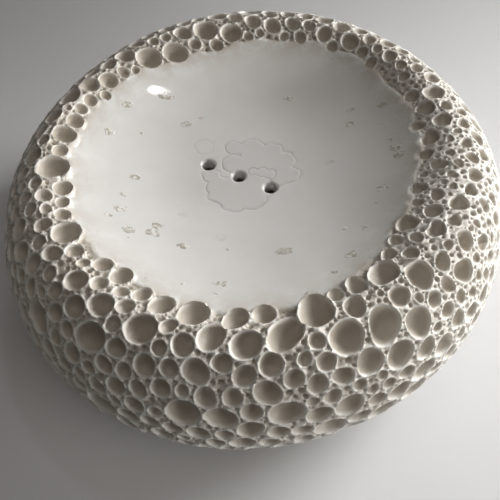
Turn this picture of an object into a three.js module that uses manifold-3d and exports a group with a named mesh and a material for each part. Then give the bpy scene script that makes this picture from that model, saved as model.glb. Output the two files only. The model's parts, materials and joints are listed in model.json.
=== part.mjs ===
// A hand-built stoneware flower frog: a pebble-shaped hollow body with a broad shallow dish let
// into its top. Stems stand in holes through the dish and drink from the water held inside.
// Millimetres, +Z up. The origin is the centre of the flat base, on the table.
import * as THREE from "three";
import { mergeVertices } from "three/addons/utils/BufferGeometryUtils.js";
import Module from "manifold-3d";

// Body
const bodyRadius = 119;
const bodyHeight = 79;
const bellyHeight = 34;
const footRadius = 64;
const wallThickness = 9;
const floorThickness = 9;
const shoulderFullness = 2.1;
const undersideFullness = 2.13;

// Rim: the shoulder closes in to the crest, the highest ring, and the lip falls from there inwards
// to the mouth's edge
const shoulderReach = 28.5;
const lipWidth = 11.5;
const mouthDrop = 5.5;
const lipCurve = 1.3;

// Dish and the glaze on it
const dishDepth = 16;
const dishCurve = 2.6;
const dishThickness = 5;
const glazeThickness = 0.8;

// Stem holes, in one straight row
const stemHoleCount = 3;
const stemHoleDiameter = 6;
const stemHolePitch = 16.5;
const stemRowAngle = THREE.MathUtils.degToRad(-29);
const stemRowCentre = new THREE.Vector2(-6.4, -0.6);
const stemHoleSides = 24;

// Clay coils worked along the seams, inside
const coilDiameter = 8;
const coilSides = 6;

// Hand-made plan: the body is slightly oval with three faint lobes, and the mouth has three soft
// lobes of its own and sits off centre
const bodyOval = 0.02;
const bodyOvalAngle = THREE.MathUtils.degToRad(62);
const bodyLobes = 0.01;
const bodyLobeAngle = THREE.MathUtils.degToRad(-24);
const mouthLobes = 0.03;
const mouthLobeAngle = THREE.MathUtils.degToRad(41);
const mouthShift = -3;

// Clearance left where two pieces of clay meet
const jointGap = 0.3;
const planSegments = 56;

// Radii and heights that follow from the driving sizes
const crestRadius = bodyRadius - shoulderReach;
const mouthRadius = crestRadius - lipWidth;
const mouthHeight = bodyHeight - mouthDrop;
const dishBottomHeight = mouthHeight - dishDepth;
const dishStack = glazeThickness + jointGap + dishThickness;
const seamCoilReach = coilDiameter / 2 + jointGap;

const wasm = await Module();
wasm.setup();

// Points on a quarter superellipse about (centreRadius, centreHeight), from its side to its end.
function quarterCurve(centreRadius, centreHeight, reach, rise, fullness, steps) {
  const points = [];
  for (let i = 0; i <= steps; i++) {
    const turn = (i / steps) * (Math.PI / 2);
    const across = i === steps ? 0 : Math.cos(turn) ** (2 / fullness);
    const along = Math.sin(turn) ** (2 / fullness);
    points.push(new THREE.Vector2(centreRadius + reach * across, centreHeight + rise * along));
  }
  return points;
}

// Height of the rim between its crest and the mouth's edge.
function lipHeight(radius) {
  const inward = (crestRadius - radius) / lipWidth;
  return bodyHeight - mouthDrop * inward ** lipCurve;
}

// Height of the finished surface of the dish.
function dishHeight(radius) {
  return dishBottomHeight + dishDepth * (radius / mouthRadius) ** dishCurve;
}

// A layer that follows the dish, from topDepth below its finished surface to bottomDepth below it.
function dishLayer(topDepth, bottomDepth, steps) {
  const edge = mouthRadius - jointGap;
  const profile = [];
  for (let i = 0; i <= steps; i++) {
    const radius = (edge * i) / steps;
    profile.push(new THREE.Vector2(radius, dishHeight(radius) - bottomDepth));
  }
  for (let i = steps; i >= 0; i--) {
    const radius = (edge * i) / steps;
    profile.push(new THREE.Vector2(radius, dishHeight(radius) - topDepth));
  }
  return profile;
}

function closed(profile) {
  return [...profile, profile[0].clone()];
}

// Section of a clay coil, pressed round.
function coilSection(radius, height) {
  const section = [];
  for (let i = 0; i < coilSides; i++) {
    const turn = ((i + 0.5) / coilSides) * Math.PI * 2;
    const across = Math.cos(turn) * (coilDiameter / 2);
    const along = Math.sin(turn) * (coilDiameter / 2);
    section.push(new THREE.Vector2(radius + across, height + along));
  }
  return closed(section);
}

// How far the mouth's own outline is followed: fully at the mouth, not at all at the crest or belly.
function mouthWeight(radius, height) {
  const below = THREE.MathUtils.smoothstep(height, bellyHeight, mouthHeight - dishStack);
  const outside = 1 - THREE.MathUtils.smoothstep(radius, mouthRadius, crestRadius + wallThickness);
  return below * outside;
}

// Moves a turned shape onto the hand-made plan, the same way for every piece, so that fits hold.
function shapeByHand(geometry) {
  const position = geometry.getAttribute("position");
  for (let i = 0; i < position.count; i++) {
    const x = position.getX(i);
    const y = position.getY(i);
    const radius = Math.hypot(x, y);
    const angle = Math.atan2(y, x);
    const weight = mouthWeight(radius, position.getZ(i));
    const oval = bodyOval * Math.cos(2 * (angle - bodyOvalAngle));
    const mouth = weight * mouthLobes * Math.cos(3 * (angle - mouthLobeAngle));
    const body = (1 - weight) * bodyLobes * Math.cos(3 * (angle - bodyLobeAngle));
    const stretch = 1 + oval + mouth + body;
    position.setXY(i, x * stretch + weight * mouthShift, y * stretch);
  }
  return geometry;
}

// A piece turned about +Z from its profile (radius, height), then shaped by hand.
function turned(profile) {
  const geometry = new THREE.LatheGeometry(profile, planSegments);
  geometry.rotateX(Math.PI / 2);
  return shapeByHand(geometry);
}

function solidOf(geometry) {
  const bare = geometry.clone();
  bare.deleteAttribute("normal");
  bare.deleteAttribute("uv");
  const merged = mergeVertices(bare, 1e-4);
  return new wasm.Manifold(
    new wasm.Mesh({
      numProp: 3,
      vertProperties: merged.getAttribute("position").array,
      triVerts: new Uint32Array(merged.index.array),
    }),
  );
}

function geometryOf(solid) {
  const mesh = solid.getMesh();
  const geometry = new THREE.BufferGeometry();
  geometry.setAttribute("position", new THREE.BufferAttribute(mesh.vertProperties, 3));
  geometry.setIndex(new THREE.BufferAttribute(mesh.triVerts, 1));
  geometry.computeVertexNormals();
  return geometry;
}

// Cuts the row of stem holes down through a layer of the dish.
function withStemHoles(geometry) {
  let solid = solidOf(geometry);
  const radius = stemHoleDiameter / 2;
  for (let i = 0; i < stemHoleCount; i++) {
    const along = (i - (stemHoleCount - 1) / 2) * stemHolePitch;
    const drill = new THREE.CylinderGeometry(radius, radius, bodyHeight, stemHoleSides);
    drill.rotateX(Math.PI / 2);
    drill.translate(
      stemRowCentre.x + along * Math.cos(stemRowAngle),
      stemRowCentre.y + along * Math.sin(stemRowAngle),
      dishBottomHeight,
    );
    solid = solid.subtract(solidOf(drill));
  }
  return geometryOf(solid);
}

function floorSlab() {
  const edge = footRadius - jointGap;
  return turned([
    new THREE.Vector2(0, 0),
    new THREE.Vector2(edge, 0),
    new THREE.Vector2(edge, floorThickness),
    new THREE.Vector2(0, floorThickness),
  ]);
}

// From the foot out under the body to the belly seam.
function lowerWall() {
  const seamHeight = bellyHeight - jointGap / 2;
  const reach = bodyRadius - footRadius;
  const outer = quarterCurve(footRadius, seamHeight, reach, -seamHeight, undersideFullness, 9);
  const inner = quarterCurve(
    footRadius,
    seamHeight,
    reach - wallThickness,
    wallThickness - seamHeight,
    undersideFullness,
    6,
  );
  return turned(closed([...outer.reverse(), ...inner]));
}

// From the belly seam over the shoulder and the crest, and down the lip to the mouth's edge.
function upperWall() {
  const seamHeight = bellyHeight + jointGap / 2;
  const rise = bodyHeight - seamHeight;
  const outer = quarterCurve(crestRadius, seamHeight, shoulderReach, rise, shoulderFullness, 10);
  const lipSteps = 4;
  const lip = [];
  for (let i = 1; i <= lipSteps; i++) {
    const radius = crestRadius - (lipWidth * i) / lipSteps;
    lip.push(new THREE.Vector2(radius, lipHeight(radius)));
  }
  const inner = quarterCurve(
    crestRadius,
    seamHeight,
    shoulderReach - wallThickness,
    rise - wallThickness,
    shoulderFullness,
    7,
  );
  const lipUnderside = new THREE.Vector2(mouthRadius, mouthHeight - dishStack);
  return turned(closed([...outer, ...lip, lipUnderside, ...inner.reverse()]));
}

// The two pieces of the dish: its clay, and the glaze that pools over it.
function dish() {
  return withStemHoles(turned(dishLayer(glazeThickness + jointGap, dishStack, 8)));
}

function dishGlaze() {
  return withStemHoles(turned(dishLayer(0, glazeThickness, 9)));
}

// Coils along the seams, each in the corner that it seals. This one lies over the floor's edge, or
// beside the step there if the wall and the floor differ in thickness.
function floorSeamCoil() {
  const step = wallThickness - floorThickness;
  const aside = Math.sqrt(seamCoilReach ** 2 - (seamCoilReach - Math.abs(step)) ** 2);
  const lower = Math.min(wallThickness, floorThickness);
  return turned(coilSection(footRadius - Math.sign(step) * aside, lower + seamCoilReach));
}

function bellySeamCoil() {
  return turned(coilSection(bodyRadius - wallThickness - seamCoilReach, bellyHeight));
}

// This one lies in the shallow corner between the dish's underside and the lip's.
function dishSeatCoil() {
  const seamHeight = mouthHeight - dishStack;
  const dishSlope = Math.atan2(dishCurve * dishDepth, mouthRadius);
  const lipSlope = Math.atan2(bodyHeight - wallThickness - seamHeight, lipWidth);
  const slope = (dishSlope + lipSlope) / 2;
  const reach = seamCoilReach / Math.cos((dishSlope - lipSlope) / 2);
  return turned(
    coilSection(mouthRadius + reach * Math.sin(slope), seamHeight - reach * Math.cos(slope)),
  );
}

const clay = { color: "#d8d1c4", roughness: 0.72, metalness: 0 };
const bareClay = { color: "#cfc6b6", roughness: 0.9, metalness: 0 };
const whiteGlaze = { color: "#e6e4df", roughness: 0.22, metalness: 0 };

const pieces = [
  ["floor_slab", floorSlab(), bareClay],
  ["floor_seam_coil", floorSeamCoil(), bareClay],
  ["lower_wall", lowerWall(), clay],
  ["belly_seam_coil", bellySeamCoil(), bareClay],
  ["upper_wall", upperWall(), clay],
  ["dish_seat_coil", dishSeatCoil(), bareClay],
  ["dish", dish(), bareClay],
  ["dish_glaze", dishGlaze(), whiteGlaze],
];

const flowerFrog = new THREE.Group();
for (const [name, geometry, finish] of pieces) {
  const mesh = new THREE.Mesh(geometry, new THREE.MeshStandardMaterial(finish));
  mesh.name = name;
  flowerFrog.add(mesh);
}

export default flowerFrog;
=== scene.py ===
"""The flower frog's looks: a hand-built pebble pressed all over with round cups, and its glazed dish.

Shapes are worked out in millimetres in the CAD frame and turned into metres as each mesh is made.
"""

import itertools
import json
import math

import bpy
import numpy as np
from mathutils import Matrix, Vector, noise
from mathutils.geometry import delaunay_2d_cdt

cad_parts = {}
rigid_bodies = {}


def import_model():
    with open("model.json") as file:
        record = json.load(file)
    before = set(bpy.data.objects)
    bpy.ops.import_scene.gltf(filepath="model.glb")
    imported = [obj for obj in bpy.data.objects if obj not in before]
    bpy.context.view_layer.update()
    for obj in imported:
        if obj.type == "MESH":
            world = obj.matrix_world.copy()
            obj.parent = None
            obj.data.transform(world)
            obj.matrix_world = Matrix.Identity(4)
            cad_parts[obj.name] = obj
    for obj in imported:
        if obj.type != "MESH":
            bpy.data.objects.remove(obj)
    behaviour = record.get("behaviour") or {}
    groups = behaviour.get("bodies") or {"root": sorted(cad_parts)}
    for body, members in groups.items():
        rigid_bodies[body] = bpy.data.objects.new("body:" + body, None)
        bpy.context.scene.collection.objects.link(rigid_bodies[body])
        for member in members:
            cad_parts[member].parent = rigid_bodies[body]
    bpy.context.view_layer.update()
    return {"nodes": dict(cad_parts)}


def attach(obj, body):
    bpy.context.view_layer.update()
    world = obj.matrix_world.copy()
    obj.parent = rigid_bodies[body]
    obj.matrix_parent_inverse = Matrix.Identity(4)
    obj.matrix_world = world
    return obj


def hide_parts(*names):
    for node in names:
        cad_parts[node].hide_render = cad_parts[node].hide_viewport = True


for leftover in list(bpy.data.objects):
    bpy.data.objects.remove(leftover)
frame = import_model()

MM = 0.001
FAR = 99.0
rng = np.random.default_rng(27)

# ---- sizes shared with the CAD, in mm
BODY_RADIUS = 119.0
BODY_HEIGHT = 79.0
BELLY_HEIGHT = 34.0
FOOT_RADIUS = 64.0
WALL_THICKNESS = 9.0
SHOULDER_FULLNESS = 2.1
UNDERSIDE_FULLNESS = 2.13
CREST_RADIUS = 90.5
MOUTH_RADIUS = 79.0
MOUTH_DROP = 5.5
LIP_CURVE = 1.3
DISH_DEPTH = 16.0
DISH_CURVE = 2.6
DISH_STACK = 6.1
BODY_OVAL = 0.02
BODY_OVAL_ANGLE = math.radians(62)
BODY_LOBES = 0.01
BODY_LOBE_ANGLE = math.radians(-24)
MOUTH_LOBES = 0.03
MOUTH_LOBE_ANGLE = math.radians(41)
MOUTH_SHIFT = -3.0
MOUTH_HEIGHT = BODY_HEIGHT - MOUTH_DROP
DISH_BOTTOM = MOUTH_HEIGHT - DISH_DEPTH

STEM_HOLE_RADIUS = 3.0
STEM_HOLE_PITCH = 16.5
STEM_ROW_ANGLE = math.radians(-29)
STEM_ROW_CENTRE = (-6.4, -0.6)

# ---- the texture, in mm
CUP_RADIUS_MIDDLE = 3.95
CUP_RADIUS_SPREAD = 0.27
CUP_RADIUS_RANGE = (2.0, 6.9)
CUP_GAP = 1.35
CUP_COVER = 0.855
RIM_WIDTH = 0.47
RIM_PEAK_OUT = 0.24
GROUND_DEPTH = 1.15
CUP_TILT = 0.3
CUP_BITE = (-0.4, 2.9)
CUP_GAP_TORN = 0.8
CUP_GAP_LEAST = 0.66
# Cups near the mouth's edge, from the left round to the front, are larger
FRONT_CUPS = {"within": 10.0, "up_to": math.radians(-55), "larger": 1.3}
PACKING_ROUNDS = 140
PACKING_SPEED = 0.8
BUBBLE_RADIUS_RANGE = (0.42, 1.5)
BUBBLE_TRIES = 75000
BUBBLE_GAP = 0.24
BUBBLE_RIM_GAP = 0.36
PLAIN_FOOT_BAND = 5.0
TORN_MIDDLE = math.radians(-14)
TORN_WIDTH = math.radians(42)


def polar(radius, angle):
    return np.stack([radius * np.cos(angle), radius * np.sin(angle)], 1)


def to_polar(flat):
    return np.arctan2(flat[:, 1], flat[:, 0]), np.hypot(flat[:, 0], flat[:, 1])


def smoothstep(x, low, high):
    t = np.clip((x - low) / (high - low), 0.0, 1.0)
    return t * t * (3.0 - 2.0 * t)


def bumpy(points, scale, seed=0.0):
    """Smooth noise from -1 to 1 at each point, with features of about the given size."""
    offset = Vector((seed * 13.7, seed * 5.1, seed * 9.3))
    return np.array([noise.noise(Vector(p) / scale + offset) for p in points])


# ---- the smooth pebble
class Pebble:
    """The untextured surface, from the dish's centre over the crest and the belly to the foot.

    A point is (angle, run): its direction seen from above, and its distance along the profile.
    """

    STEP = 0.25

    def __init__(self):
        radius, height = self.rough_profile()
        run = self.lengths(radius, height)
        self.run = np.arange(0.0, run[-1], self.STEP)
        radius = self.soften(np.interp(self.run, run, radius), odd_start=True)
        height = self.soften(np.interp(self.run, run, height), odd_start=False)
        self.radius = radius
        self.height = height
        self.run = self.lengths(radius, height)
        belly = radius.argmax()
        self.run_mouth = float(np.interp(MOUTH_RADIUS, radius[:belly], self.run[:belly]))
        self.run_belly = float(self.run[belly])
        self.run_foot = float(self.run[-1])
        step = np.diff(self.run) / (0.5 * (radius[1:] + radius[:-1]))
        spread = np.concatenate([[0.0], np.cumsum(step[1:])])
        self.map_radius = np.concatenate([[0.0], radius[1] * np.exp(spread)])

    @staticmethod
    def rough_profile():
        dish = np.linspace(0.0, MOUTH_RADIUS, 320)
        lip = np.linspace(MOUTH_RADIUS, CREST_RADIUS, 60)[1:]
        inward = (CREST_RADIUS - lip) / (CREST_RADIUS - MOUTH_RADIUS)
        turn = np.linspace(math.pi / 2, 0.0, 260)[1:]
        power = 2 / SHOULDER_FULLNESS
        shoulder_r = CREST_RADIUS + (BODY_RADIUS - CREST_RADIUS) * np.cos(turn) ** power
        shoulder_z = BELLY_HEIGHT + (BODY_HEIGHT - BELLY_HEIGHT) * np.sin(turn) ** power
        under = np.linspace(0.0, math.pi / 2, 300)[1:]
        across = np.clip(np.cos(under), 0.0, 1.0) ** (2 / UNDERSIDE_FULLNESS)
        under_r = FOOT_RADIUS + (BODY_RADIUS - FOOT_RADIUS) * across
        under_z = BELLY_HEIGHT - BELLY_HEIGHT * np.sin(under) ** (2 / UNDERSIDE_FULLNESS)
        radius = np.concatenate([dish, lip, shoulder_r, under_r])
        dish_z = DISH_BOTTOM + DISH_DEPTH * (dish / MOUTH_RADIUS) ** DISH_CURVE
        lip_z = BODY_HEIGHT - MOUTH_DROP * inward**LIP_CURVE
        return radius, np.concatenate([dish_z, lip_z, shoulder_z, under_z])

    @staticmethod
    def lengths(radius, height):
        return np.concatenate([[0.0], np.cumsum(np.hypot(np.diff(radius), np.diff(height)))])

    @staticmethod
    def soften(values, odd_start, reach=9):
        """Rounds the corners of a profile by a running average that keeps both of its ends."""
        window = np.hanning(2 * reach + 3)[1:-1]
        before = values[1 : reach + 1][::-1]
        before = 2 * values[0] - before if odd_start else before
        after = 2 * values[-1] - values[-reach - 1 : -1][::-1]
        padded = np.concatenate([before, values, after])
        return np.convolve(padded, window / window.sum(), mode="valid")

    def to_map(self, angle, run):
        """Flattens the surface so that small circles stay circles."""
        return polar(np.interp(run, self.run, self.map_radius), angle)

    def from_map(self, flat):
        angle, reach = to_polar(flat)
        return angle, np.interp(reach, self.map_radius, self.run)

    def point(self, angle, run):
        """The surface point, moved onto the hand-made plan as the CAD is."""
        radius = np.interp(run, self.run, self.radius)
        height = np.interp(run, self.run, self.height)
        return hand_plan(radius, height, angle)

    def place(self, angle, run):
        """Points, outward normals, and the mm along the surface for each unit of angle and of run."""
        step = 0.02
        here = self.point(angle, run)
        round_ = (self.point(angle + step / 100, run) - self.point(angle - step / 100, run)) / (step / 50)
        ahead = np.minimum(run + step, self.run_foot)
        behind = np.maximum(run - step, 0.0)
        along = (self.point(angle, ahead) - self.point(angle, behind)) / (ahead - behind)[:, None]
        normal = np.cross(along, round_)
        size = np.linalg.norm(normal, axis=1, keepdims=True)
        normal = np.where(size > 1e-6, normal / np.maximum(size, 1e-6), np.array([0.0, 0.0, 1.0]))
        return here, normal, round_, along


def hand_plan(radius, height, angle):
    """Moves turned points onto the slightly oval plan with its lobed, off-centre mouth."""
    below = smoothstep(height, BELLY_HEIGHT, MOUTH_HEIGHT - DISH_STACK)
    outside = 1.0 - smoothstep(radius, MOUTH_RADIUS, CREST_RADIUS + WALL_THICKNESS)
    weight = below * outside
    oval = BODY_OVAL * np.cos(2 * (angle - BODY_OVAL_ANGLE))
    mouth = weight * MOUTH_LOBES * np.cos(3 * (angle - MOUTH_LOBE_ANGLE))
    body = (1.0 - weight) * BODY_LOBES * np.cos(3 * (angle - BODY_LOBE_ANGLE))
    stretch = 1.0 + oval + mouth + body
    x = radius * np.cos(angle) * stretch + weight * MOUTH_SHIFT
    y = radius * np.sin(angle) * stretch
    return np.stack([x, y, height + 0.0 * x], 1)


pebble = Pebble()


# ---- the cups and bubbles
def glaze_edge(angle):
    """Run at which the dish's glaze gives way to the texture: the mouth, bitten unevenly."""
    wave = 1.1 * np.sin(2 * angle + 0.4) + 0.9 * np.sin(5 * angle + 1.9) + 0.6 * np.sin(9 * angle)
    ragged = 0.7 * np.sin(16 * angle + 2.6) + 0.6 * np.sin(27 * angle + 0.7) * np.sin(4 * angle + 1.1)
    return pebble.run_mouth + 1.6 + wave + ragged


def torn(angle):
    """How broken the texture is: strongly on the right-hand side, hardly at all elsewhere."""
    away = np.angle(np.exp(1j * (angle - TORN_MIDDLE)))
    return np.exp(-((away / TORN_WIDTH) ** 2))


def cup_gap(angle):
    """The gap wanted between cups, wider where the texture is torn."""
    return CUP_GAP * (1.0 + CUP_GAP_TORN * torn(angle))


def wrap(angle):
    return (angle + math.pi) % (2 * math.pi) - math.pi


class Cups:
    """Pressed cups: where each is, its outline, its depth and the height of its rim."""

    def __init__(self, angle, run, radius, kind):
        count = len(angle)
        self.angle = wrap(angle)
        self.run = run
        self.radius = radius
        self.centre, self.normal, round_, along = pebble.place(self.angle, run)
        self.per_angle = np.linalg.norm(round_, axis=1)
        self.per_run = np.linalg.norm(along, axis=1)
        self.side = round_ / self.per_angle[:, None]
        self.down = along / self.per_run[:, None]
        uneven = torn(self.angle)

        def draw(low, high):
            return rng.uniform(low, high, count)

        if kind == "cup":
            self.stretch = draw(0.01, 0.1) + draw(0.0, 0.13) * uneven
            self.skew = draw(0.0, 0.03) + draw(0.03, 0.13) * uneven
            self.jag = draw(0.0, 0.012) + draw(0.02, 0.075) * uneven
            self.depth = radius * (draw(0.72, 0.92) + 0.12 * uneven)
            self.rim = draw(-0.16, 0.0) - draw(0.0, 0.75) * uneven
        else:
            self.stretch = draw(0.0, 0.16)
            self.skew = draw(0.0, 0.08)
            self.jag = np.zeros(count)
            self.depth = radius * draw(1.2, 1.7)
            self.rim = -GROUND_DEPTH + draw(0.25, 0.6) + 0.25 * uneven
        self.stretch_turn = draw(0.0, math.pi)
        self.skew_turn = draw(0.0, 2 * math.pi)
        self.jag_turn = draw(0.0, 2 * math.pi)

    def outline(self, i, bearing):
        """Radius of cup i's rim at a bearing round it."""
        oval = self.stretch[i] * np.cos(2 * (bearing - self.stretch_turn[i]))
        skew = self.skew[i] * np.cos(3 * (bearing - self.skew_turn[i]))
        jag = self.jag[i] * np.cos(5 * (bearing - self.jag_turn[i]))
        return self.radius[i] * (1.0 + oval + skew + jag)

    @staticmethod
    def joined(first, second):
        both = object.__new__(Cups)
        for name, values in vars(first).items():
            setattr(both, name, np.concatenate([values, getattr(second, name)]))
        return both


def pack_cups():
    """Spreads cups over the wall: drawn at random, then pushed apart until they sit side by side."""
    first = pebble.run_mouth
    last = pebble.run_foot - PLAIN_FOOT_BAND
    fine = np.linspace(first, last, 600)
    ring_area = 2 * math.pi * np.interp(fine, pebble.run, pebble.radius)
    share = np.concatenate([[0.0], np.cumsum(0.5 * (ring_area[1:] + ring_area[:-1]) * np.diff(fine))])
    area = share[-1]
    angle, run, radius, filled = [], [], [], 0.0
    while filled < CUP_COVER * area:
        where = rng.uniform(-math.pi, math.pi)
        size = CUP_RADIUS_MIDDLE * math.exp(rng.normal(0.0, CUP_RADIUS_SPREAD))
        size = size * (1.0 - 0.3 * torn(where))
        largest = CUP_RADIUS_RANGE[1] * (1.0 - 0.42 * torn(where))
        size = min(max(size, CUP_RADIUS_RANGE[0]), largest)
        level = float(np.interp(rng.uniform(0.0, area), share, fine))
        if level < first + FRONT_CUPS["within"] and -math.pi < where < FRONT_CUPS["up_to"]:
            size = min(size * FRONT_CUPS["larger"], CUP_RADIUS_RANGE[1])
        angle.append(where)
        run.append(level)
        radius.append(size)
        filled += math.pi * (size + 0.5 * cup_gap(where)) ** 2
    angle, run, radius = np.array(angle), np.array(run), np.array(radius)
    bite = rng.uniform(*CUP_BITE, len(radius))
    for _ in range(PACKING_ROUNDS):
        gap = cup_gap(angle)
        centre, _, round_, along = pebble.place(angle, run)
        square = (centre**2).sum(1)
        apart2 = square[:, None] + square[None] - 2 * centre @ centre.T
        reach = radius[:, None] + radius[None] + 0.5 * (gap[:, None] + gap[None])
        one, other = np.nonzero(np.triu(apart2 < reach**2, 1))
        apart = np.sqrt(np.maximum(apart2[one, other], 1e-6))
        overlap = 0.5 * (reach[one, other] - apart)
        push = (centre[one] - centre[other]) / apart[:, None] * overlap[:, None]
        force = np.zeros_like(centre)
        np.add.at(force, one, push)
        np.add.at(force, other, -push)
        angle = wrap(angle + PACKING_SPEED * (force * round_).sum(1) / (round_**2).sum(1))
        run = run + PACKING_SPEED * (force * along).sum(1) / (along**2).sum(1)
        run = np.clip(run, glaze_edge(angle) + radius - bite, last - radius)
    centre = pebble.point(angle, run)
    apart = np.linalg.norm(centre[:, None] - centre[None], axis=2) + FAR * np.eye(len(angle))
    gap = CUP_GAP_LEAST * CUP_GAP * (1.0 + 0.5 * torn(angle))
    room = (apart - gap[:, None]) * radius[:, None] / (radius[:, None] + radius[None])
    radius = np.minimum(radius, room.min(1))
    keep = radius > 0.5 * CUP_RADIUS_RANGE[0]
    return Cups(angle[keep], run[keep], radius[keep], "cup")


class CupFinder:
    """For any points of the surface, the nearest rim: its cup, and the distance out from it."""

    CELL = 9.0
    HALF_DIAGONAL = 0.87 * CELL
    OUTLINE_ALLOWANCE = 1.3
    MARGIN = 2.5

    def __init__(self, cups):
        self.cups = cups

    def nearest(self, points):
        cups = self.cups
        best = np.full(len(points), FAR)
        owner = np.zeros(len(points), int)
        share = np.full(len(points), 9.0)
        cell = np.floor(points / self.CELL).astype(int)
        keys, inverse = np.unique(cell, axis=0, return_inverse=True)
        order = np.argsort(inverse.ravel(), kind="stable")
        bounds = np.searchsorted(inverse.ravel()[order], np.arange(len(keys) + 1))
        for k, key in enumerate(keys):
            members = order[bounds[k] : bounds[k + 1]]
            middle = (key + 0.5) * self.CELL
            reach = cups.radius * self.OUTLINE_ALLOWANCE + self.HALF_DIAGONAL + self.MARGIN
            near = np.nonzero(((cups.centre - middle) ** 2).sum(1) < reach**2)[0]
            if not len(near):
                continue
            offset = points[members][:, None] - cups.centre[near][None]
            across = (offset * cups.side[near]).sum(2)
            ahead = (offset * cups.down[near]).sum(2)
            distance = np.hypot(across, ahead)
            rim = cups.outline(near[None], np.arctan2(ahead, across))
            out = distance - rim
            pick = out.argmin(1)
            rows = np.arange(len(members))
            best[members] = out[rows, pick]
            owner[members] = near[pick]
            share[members] = (distance / rim)[rows, pick]
        return owner, best, share


def fill_with_bubbles(cups):
    """Small bubbles in the ground between the cups, largest first, each as big as fits."""
    first = pebble.run_mouth
    last = pebble.run_foot - PLAIN_FOOT_BAND
    fine = np.linspace(first, last, 600)
    ring_area = np.interp(fine, pebble.run, pebble.radius)
    share = np.concatenate([[0.0], np.cumsum(ring_area[1:])])
    angle = rng.uniform(-math.pi, math.pi, BUBBLE_TRIES)
    run = np.interp(rng.uniform(0.0, share[-1], BUBBLE_TRIES), share, fine)
    centre = pebble.point(angle, run)
    _, out, _ = CupFinder(cups).nearest(centre)
    limit = rng.uniform(0.55, 1.0, BUBBLE_TRIES) ** 1.5 * BUBBLE_RADIUS_RANGE[1]
    size = np.minimum(out - BUBBLE_RIM_GAP, limit)
    inside = (size > BUBBLE_RADIUS_RANGE[0]) & (run - size > glaze_edge(angle) - 0.6)
    order = np.nonzero(inside)[0]
    order = order[np.argsort(-size[order])]
    taken, chosen = {}, []
    cell = 2 * BUBBLE_RADIUS_RANGE[1] + 0.4
    for i in order:
        x, y, z = np.floor(centre[i] / cell).astype(int).tolist()
        near = []
        for dx, dy, dz in itertools.product((-1, 0, 1), repeat=3):
            near += taken.get((x + dx, y + dy, z + dz), ())
        gap = size[i] + size[near] + BUBBLE_GAP
        if (((centre[i] - centre[near]) ** 2).sum(1) >= gap * gap).all():
            taken.setdefault((x, y, z), []).append(i)
            chosen.append(i)
    return Cups(angle[chosen], run[chosen], size[chosen], "bubble")


# ---- relief
def hole_centres():
    along = np.array([-1.0, 0.0, 1.0]) * STEM_HOLE_PITCH
    return np.array(STEM_ROW_CENTRE) + polar(along, STEM_ROW_ANGLE)


HOLES = hole_centres()

# The bloom in the glaze round the stem holes: overlapping scallops (x, y, radius), measured from
# the middle hole
BLOOM = (
    (-2.0, 18.0, 4.3), (7.0, 16.8, 6.4), (16.7, 15.0, 5.0), (22.2, 8.4, 5.0),
    (23.8, -1.0, 5.0), (8.7, 5.6, 11.0), (-2.4, 8.0, 5.5), (15.9, 5.6, 9.0),
    (19.0, -3.4, 4.0), (-0.8, -10.0, 10.5), (-9.5, -5.6, 6.0), (-9.9, -11.2, 4.6),
    (-2.4, -15.7, 6.0), (6.3, -14.6, 6.0), (10.5, -8.5, 5.5), (-13.0, 1.0, 4.4),
)
BLOOM_INNER = ((7.0, 2.2, 2.6), (11.0, 1.6, 3.0), (14.6, 0.0, 2.9))
BLOOM_RING = ((-16.8, 19.2, 4.5),)
BLOOM_RISE = 0.07
BLOOM_LINE = 0.3
BLOOM_GROOVE = 0.1
BLOOM_WITHIN = 50.0
HOLE_ROUNDING = 1.3


def bloom_distance(points, scallops):
    """Distance outside a scalloped outline, negative inside it."""
    x, y, radius = np.array(scallops).T
    across = points[:, :1] - STEM_ROW_CENTRE[0] - x
    along = points[:, 1:2] - STEM_ROW_CENTRE[1] - y
    return (np.hypot(across, along) - radius).min(1)


def bloom_line(points):
    """How strongly the outline of the bloom shows."""
    for amount, scale, seed in ((0.7, 3.2, 5.0), (0.3, 1.4, 7.0)):
        push = [bumpy(points, scale, seed), bumpy(points, scale, seed + 1.0), np.zeros(len(points))]
        points = points + amount * np.stack(push, 1)
    line = np.zeros(len(points))
    for scallops, strength in ((BLOOM, 1.0), (BLOOM_INNER, 0.9), (BLOOM_RING, 0.6)):
        near = np.exp(-((bloom_distance(points, scallops) / BLOOM_LINE) ** 2))
        line = np.maximum(line, strength * near)
    return line


def hole_distance(points):
    """Distance from the wall of the nearest stem hole, negative inside it."""
    across = np.linalg.norm(points[:, None, :2] - HOLES[None], axis=2)
    return across.min(1) - STEM_HOLE_RADIUS


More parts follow.
